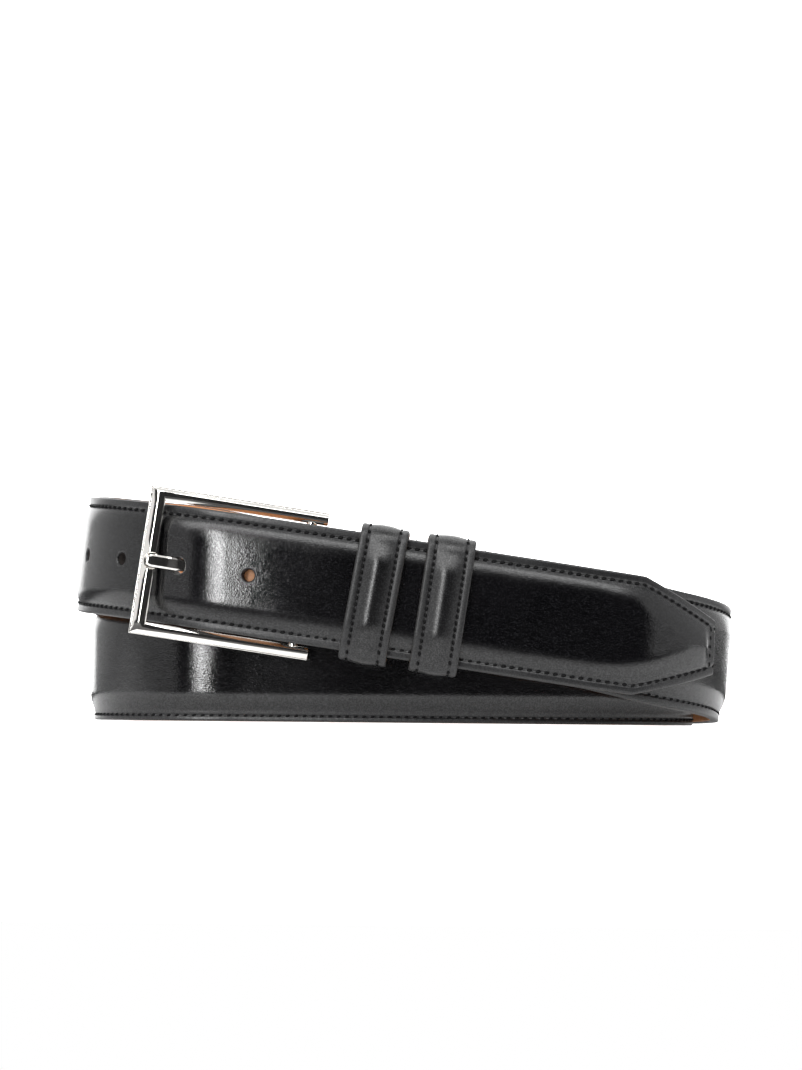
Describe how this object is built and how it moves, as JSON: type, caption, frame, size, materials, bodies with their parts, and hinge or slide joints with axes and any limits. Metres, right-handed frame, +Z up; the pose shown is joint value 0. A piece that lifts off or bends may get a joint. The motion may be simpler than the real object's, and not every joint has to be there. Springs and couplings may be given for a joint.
{
  "type": "leather belt",
  "caption": "Padded black leather dress belt with a three-sided plated buckle, fastened and coiled in two turns on its edge; buckle and prong lift, the tip flexes.",
  "frame": {"origin": "on the resting plane, below the middle of the coil's bounding box", "axes": "+X along the coil's length towards the tip, +Z up, -Y towards the side with the buckle"},
  "size_m": [0.202, 0.1166, 0.0697],
  "materials": {
    "black_leather": "polished smooth calf, softly glossy",
    "padding": "raw fibrous board, hidden",
    "tan_lining": "satin tan leather",
    "thread": "waxed black thread",
    "nickel": "polished nickel plate"
  },
  "bodies": {
    "strap": {"strap_outer": "black_leather", "strap_core": "padding", "strap_lining": "tan_lining", "strap_thread_upper": "thread", "strap_thread_lower": "thread", "front_outer": "black_leather", "front_core": "padding", "front_lining": "tan_lining", "front_thread_upper": "thread", "front_thread_lower": "thread", "chape_fold": "black_leather", "cross_stitches": "thread", "keeper_1_skin": "black_leather", "keeper_1_filler": "padding", "keeper_1_lining": "tan_lining", "keeper_1_thread": "thread", "keeper_2_skin": "black_leather", "keeper_2_filler": "padding", "keeper_2_lining": "tan_lining", "keeper_2_thread": "thread"},
    "tip": {"tip_outer": "black_leather", "tip_core": "padding", "tip_lining": "tan_lining", "tip_thread": "thread"},
    "buckle": {"buckle_frame": "nickel", "pivot_bar": "nickel"},
    "tongue": {"prong": "nickel"}
  },
  "joints": [
    {"name": "buckle_hinge", "type": "hinge", "parent": "strap", "child": "buckle", "pos_m": [-0.03015, -0.04344, 0.04041], "axis": [0.144, 0, 0.9896], "range_deg": [0, 10], "stiffness_Nm_per_rad": 0.01, "deforming": ["front_outer", "front_core", "front_lining", "front_thread_upper", "front_thread_lower"]},
    {"name": "prong_hinge", "type": "hinge", "parent": "strap", "child": "tongue", "pos_m": [-0.03015, -0.04344, 0.04041], "axis": [0.144, 0, 0.9896], "range_deg": [0, 11.5], "stiffness_Nm_per_rad": 0.002, "deforming": ["front_outer", "front_core", "front_lining", "front_thread_upper", "front_thread_lower"]},
    {"name": "tip_flex", "type": "hinge", "parent": "strap", "child": "tip", "pos_m": [0.03036, -0.05383, 0.03161], "axis": [-0.1431, -0.0086, -0.9897], "range_deg": [0, 30], "stiffness_Nm_per_rad": 0.03}
  ],
  "couplings": [
    {"joint": "prong_hinge", "follows": "buckle_hinge", "ratio": 1.12}
  ]
}
